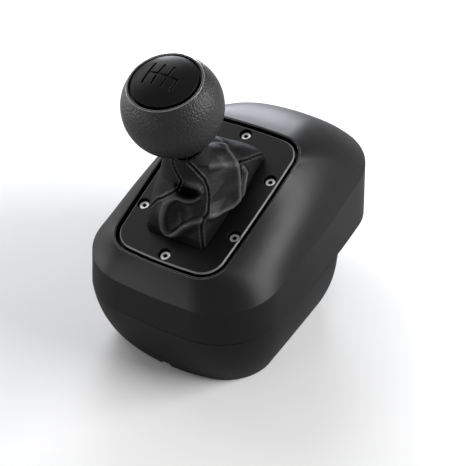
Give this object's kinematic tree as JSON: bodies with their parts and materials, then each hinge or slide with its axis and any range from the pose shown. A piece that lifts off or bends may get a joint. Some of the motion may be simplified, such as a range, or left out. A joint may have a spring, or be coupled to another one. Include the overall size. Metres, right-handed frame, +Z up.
{
  "type": "gear shifter",
  "caption": "Desktop racing gear shifter with a slanted lever, ball knob and leather boot on a housing that overhangs a table edge, with screw clamps under the overhang.",
  "frame": {"origin": "under the middle of the housing, level with the bottom of the rubber feet", "axes": "+Z up, +Y away from the driver towards the overhang, +X to the driver's right"},
  "size_m": [0.1234, 0.1874, 0.192],
  "materials": {
    "housing_plastic": "satin black moulding",
    "bezel_plastic": "matte black",
    "bright_screws": "bright machined steel",
    "boot_leather": "soft black leather with double seams",
    "knob_leather": "pebbled black leather",
    "knob_cap": "finely textured black",
    "knob_rim": "dark bright rim",
    "inner_plastic": "plain moulded",
    "boot_clip": "plain moulded",
    "screws": "blackened steel",
    "rubber": "soft black rubber",
    "brass": "turned brass",
    "lever_steel": "ground steel",
    "spring_steel": "spring wire",
    "light_alloy": "cast and machined alloy",
    "plate_steel": "black coated sheet steel",
    "detent_plastic": "natural acetal",
    "sensor_plastic": "glossy black moulding",
    "board_green": "green solder mask",
    "board_parts": "black chip and sockets",
    "gland_plastic": "moulded rubber",
    "clamp_metal": "black coated steel",
    "clamp_screw_steel": "plated steel",
    "clamp_knob_plastic": "black moulded grip"
  },
  "bodies": {
    "housing": {"top_shell": "housing_plastic", "base_shell": "housing_plastic", "bezel_plate": "bezel_plastic", "bezel_screws": "bright_screws", "boot": "boot_leather", "boot_frame": "inner_plastic", "detent_housing": "inner_plastic", "boot_frame_screws": "screws", "housing_screws": "screws", "overhang_screws": "screws", "frame_screws": "screws", "board_screws": "screws", "bridge_screws": "screws", "table_pad": "rubber", "rubber_feet": "rubber", "mounting_inserts": "brass", "fore_aft_bushes": "brass", "frame_spacer": "lever_steel", "detent_spring": "spring_steel", "overhang_plate": "plate_steel", "side_plate_left": "plate_steel", "side_plate_right": "plate_steel", "gate_plate": "plate_steel", "clamp_bridge": "plate_steel", "detent_plunger": "detent_plastic", "fore_aft_sensor": "sensor_plastic", "circuit_board": "board_green", "board_components": "board_parts", "cable_gland": "gland_plastic"},
    "yoke": {"yoke": "light_alloy", "fore_aft_shafts": "lever_steel", "fore_aft_rotor": "sensor_plastic", "detent_sector": "detent_plastic", "side_bushes": "brass", "side_sensor": "sensor_plastic", "centring_springs": "spring_steel"},
    "lever": {"lever_hub": "light_alloy", "lever_tube": "lever_steel", "side_pivot_pins": "lever_steel", "side_rotor": "sensor_plastic", "reverse_switch": "sensor_plastic", "switch_bracket": "inner_plastic", "boot_collar": "boot_clip"},
    "rod": {"lever_rod": "lever_steel", "gate_pin": "lever_steel", "push_collar": "light_alloy", "knob_insert": "light_alloy", "knob_ball": "knob_leather", "knob_ring": "knob_rim", "knob_cap": "knob_cap", "push_spring": "spring_steel"},
    "switch_button": {"switch_plunger": "sensor_plastic"},
    "jaw_left": {"clamp_jaw_left": "clamp_metal", "jaw_pad_left": "rubber"},
    "jaw_right": {"clamp_jaw_right": "clamp_metal", "jaw_pad_right": "rubber"},
    "screw_left": {"clamp_screw_left": "clamp_screw_steel", "clamp_knob_left": "clamp_knob_plastic"},
    "screw_right": {"clamp_screw_right": "clamp_screw_steel", "clamp_knob_right": "clamp_knob_plastic"}
  },
  "joints": [
    {"name": "lever_fore_aft", "type": "hinge", "parent": "housing", "child": "yoke", "pos_m": [0, -0.02494, 0.05848], "axis": [1, 0, 0], "range_deg": [-12, 12], "deforming": ["boot"]},
    {"name": "lever_side", "type": "hinge", "parent": "yoke", "child": "lever", "pos_m": [0, -0.02494, 0.05848], "axis": [0, 0.9432, 0.3322], "range_deg": [-10, 10], "stiffness_Nm_per_rad": 3.4, "deforming": ["boot", "centring_springs"]},
    {"name": "knob_push", "type": "slide", "parent": "lever", "child": "rod", "axis": [0, 0.3322, -0.9432], "range_m": [0, 0.007], "stiffness_N_per_m": 2500, "springref_m": -0.003, "deforming": ["push_spring", "boot"]},
    {"name": "switch_press", "type": "slide", "parent": "lever", "child": "switch_button", "axis": [0, 0.3322, -0.9432], "range_m": [0, 0.001]},
    {"name": "jaw_rise_left", "type": "slide", "parent": "housing", "child": "jaw_left", "axis": [0, 0, 1], "range_m": [0, 0.02]},
    {"name": "clamp_turn_left", "type": "hinge", "parent": "housing", "child": "screw_left", "pos_m": [-0.022, 0.0156, 0.0045], "axis": [0, 0, 1], "range_deg": [0, 1800]},
    {"name": "jaw_rise_right", "type": "slide", "parent": "housing", "child": "jaw_right", "axis": [0, 0, 1], "range_m": [0, 0.02]},
    {"name": "clamp_turn_right", "type": "hinge", "parent": "housing", "child": "screw_right", "pos_m": [0.022, 0.0156, 0.0045], "axis": [0, 0, 1], "range_deg": [0, 1800]}
  ],
  "couplings": [
    {"joint": "switch_press", "follows": "knob_push", "ratio": 0.14286},
    {"joint": "clamp_turn_left", "follows": "jaw_rise_left", "rad_per_m": 1570.8},
    {"joint": "clamp_turn_right", "follows": "jaw_rise_right", "rad_per_m": 1570.8}
  ]
}
